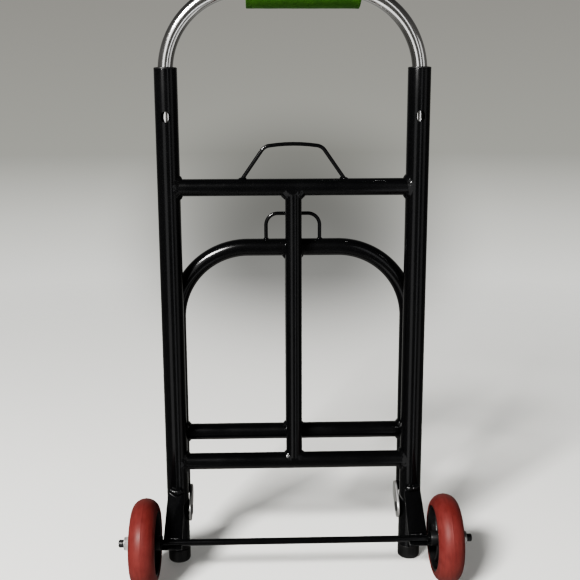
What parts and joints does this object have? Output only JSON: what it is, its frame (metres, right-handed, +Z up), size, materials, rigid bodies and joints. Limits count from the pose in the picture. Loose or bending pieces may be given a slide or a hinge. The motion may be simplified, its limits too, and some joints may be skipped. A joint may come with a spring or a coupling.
{
  "type": "folding luggage cart",
  "caption": "Two-wheeled tube-frame luggage cart with a telescoping chrome handle and a load platform that folds up against the frame.",
  "frame": {"origin": "on the floor, at the centre of the cart's footprint with the platform folded up", "axes": "+Z up; -Y is the wheel and user side, +Y is the side the platform folds down to; X across the cart, with left at -X"},
  "size_m": [0.4424, 0.1582, 0.7475],
  "materials": {
    "black_paint": "semi-gloss black enamel on steel tube",
    "black_steel": "blackened steel rivet",
    "zinc": "zinc-plated steel, dull and slightly mottled",
    "spring_steel": "plain spring steel",
    "chrome": "bright chrome plating",
    "green_foam": "matt green foam rubber",
    "red_tyre": "smooth red moulded tyre, satin",
    "black_plastic": "moulded black plastic",
    "foot_rubber": "black rubber"
  },
  "bodies": {
    "frame": {"upright_left": "black_paint", "upright_right": "black_paint", "top_crossbar": "black_paint", "lower_crossbar": "black_paint", "frame_centre_tube": "black_paint", "top_wire_loop": "black_paint", "axle_strap_left": "black_paint", "axle_strap_right": "black_paint", "axle_rod": "black_paint", "foot_left": "foot_rubber", "foot_right": "foot_rubber", "guide_bush_left": "black_plastic", "guide_bush_right": "black_plastic", "frame_welds": "black_paint", "pivot_rivets": "black_steel", "axle_washers": "zinc", "axle_nuts": "zinc", "axle_caps": "black_plastic"},
    "handle": {"handle_tube": "chrome", "handle_grip": "green_foam", "handle_slider_left": "black_plastic", "handle_slider_right": "black_plastic", "button_spring_left": "spring_steel", "button_spring_right": "spring_steel"},
    "button_left": {"snap_button_left": "chrome"},
    "button_right": {"snap_button_right": "chrome"},
    "platform": {"platform_arch": "black_paint", "platform_crossbar": "black_paint", "platform_centre_tube": "black_paint", "platform_tip_loop": "black_paint", "hinge_plate_left": "zinc", "hinge_plate_right": "zinc", "platform_welds": "black_paint"},
    "wheel_left": {"tyre_left": "red_tyre", "rim_left": "black_plastic"},
    "wheel_right": {"tyre_right": "red_tyre", "rim_right": "black_plastic"}
  },
  "joints": [
    {"name": "handle_slide", "type": "slide", "parent": "frame", "child": "handle", "axis": [0, 0, 1], "range_m": [0, 0.3]},
    {"name": "button_left_press", "type": "slide", "parent": "handle", "child": "button_left", "axis": [0, 1, 0], "range_m": [0, 0.003], "deforming": ["button_spring_left"]},
    {"name": "button_right_press", "type": "slide", "parent": "handle", "child": "button_right", "axis": [0, 1, 0], "range_m": [0, 0.003], "deforming": ["button_spring_right"]},
    {"name": "platform_fold", "type": "hinge", "parent": "frame", "child": "platform", "pos_m": [0, 0.03887, 0.0695], "axis": [-1, 0, 0], "range_deg": [0, 90]},
    {"name": "wheel_left_spin", "type": "hinge", "parent": "frame", "child": "wheel_left", "pos_m": [-0.188, -0.02413, 0.055], "axis": [1, 0, 0], "continuous": true},
    {"name": "wheel_right_spin", "type": "hinge", "parent": "frame", "child": "wheel_right", "pos_m": [0.188, -0.02413, 0.055], "axis": [1, 0, 0], "continuous": true}
  ]
}
